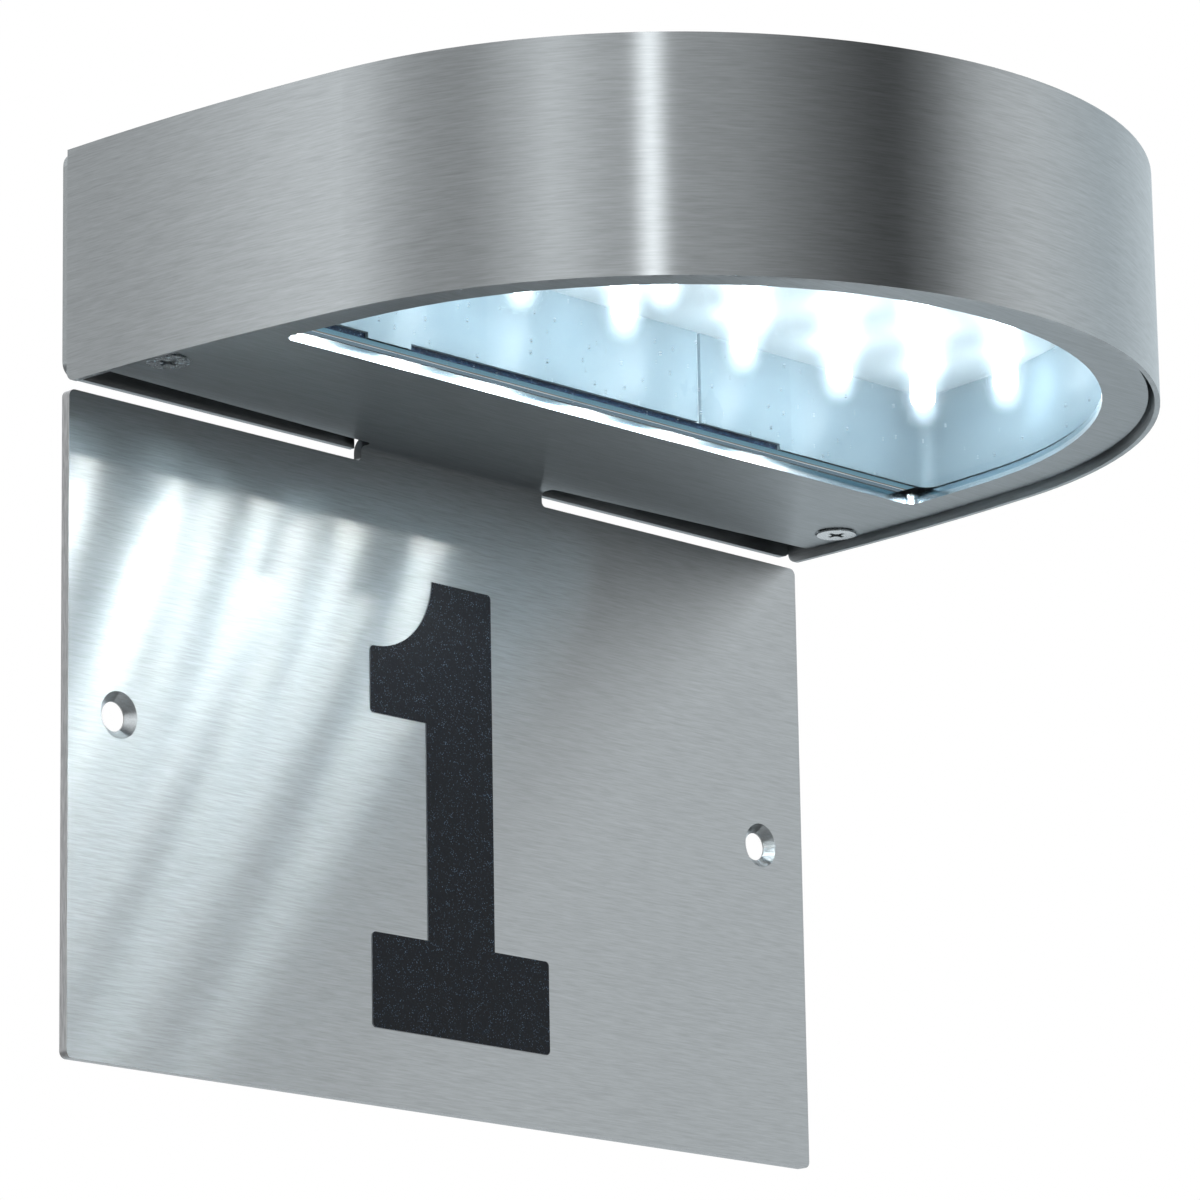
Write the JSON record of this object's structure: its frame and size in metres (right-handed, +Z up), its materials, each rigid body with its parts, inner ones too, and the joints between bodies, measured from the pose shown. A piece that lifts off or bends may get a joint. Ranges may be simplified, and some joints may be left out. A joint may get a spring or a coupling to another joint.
{
  "type": "illuminated house number sign",
  "caption": "Wall sign: a folded steel plate with a digit, lit from above by lamps behind a pane in the underside of a D-shaped steel housing.",
  "frame": {"origin": "midway between the two wall-screw holes, on the wall", "axes": "+Z up, +X to the right of a viewer who faces the sign, the sign faces -Y"},
  "size_m": [0.2, 0.152, 0.1713],
  "materials": {
    "housing_steel": "horizontally brushed stainless",
    "back_steel": "plain stainless sheet",
    "plate_steel": "horizontally brushed stainless",
    "digit_film": "black film with a fine sparkle",
    "screw_steel": "turned stainless",
    "bracket_steel": "zinc-plated",
    "zinc_nut": "bright zinc",
    "clear_pane": "clear",
    "silicone": "milky",
    "dark_foam": "matt foam",
    "pale_plastic": "glossy",
    "board_white": "white lacquer",
    "lit_lamp": "emissive cold white",
    "solder": "bright solder",
    "resistor_body": "lacquered",
    "plug_plastic": "natural nylon",
    "driver_plastic": "black moulded",
    "board_green": "solder mask",
    "coil_core": "ferrite and tape",
    "capacitor_sleeve": "shrink sleeve",
    "terminal_brass": "turned brass",
    "black_rubber": "moulded",
    "wire_brown": "wire insulation",
    "wire_red": "wire insulation"
  },
  "bodies": {
    "root": {"housing_band": "housing_steel", "back_wall": "back_steel", "top_cover": "housing_steel", "number_plate": "plate_steel", "digit_one": "digit_film", "cover_screws": "screw_steel", "corner_lugs": "bracket_steel", "lug_nuts": "zinc_nut", "window_pane": "clear_pane", "pane_seal": "silicone", "pane_tape": "dark_foam", "chamber_strip": "pale_plastic", "chamber_splice": "pale_plastic", "led_board": "board_white", "leds": "lit_lamp", "solder_joints": "solder", "resistors": "resistor_body", "board_plug": "plug_plastic", "board_studs": "screw_steel", "board_spacers": "bracket_steel", "board_nuts": "zinc_nut", "driver_case": "driver_plastic", "driver_lid": "driver_plastic", "driver_board": "board_green", "driver_coil": "coil_core", "driver_capacitor": "capacitor_sleeve", "driver_studs": "screw_steel", "driver_nuts": "zinc_nut", "terminal_block": "plug_plastic", "terminal_inserts": "terminal_brass", "terminal_screws": "screw_steel", "block_stud": "screw_steel", "block_nut": "zinc_nut", "earth_stud": "screw_steel", "earth_washer": "terminal_brass", "earth_nut": "zinc_nut", "cable_grommet": "black_rubber", "mains_wires": "wire_brown", "led_wires": "wire_red"}
  },
  "joints": []
}
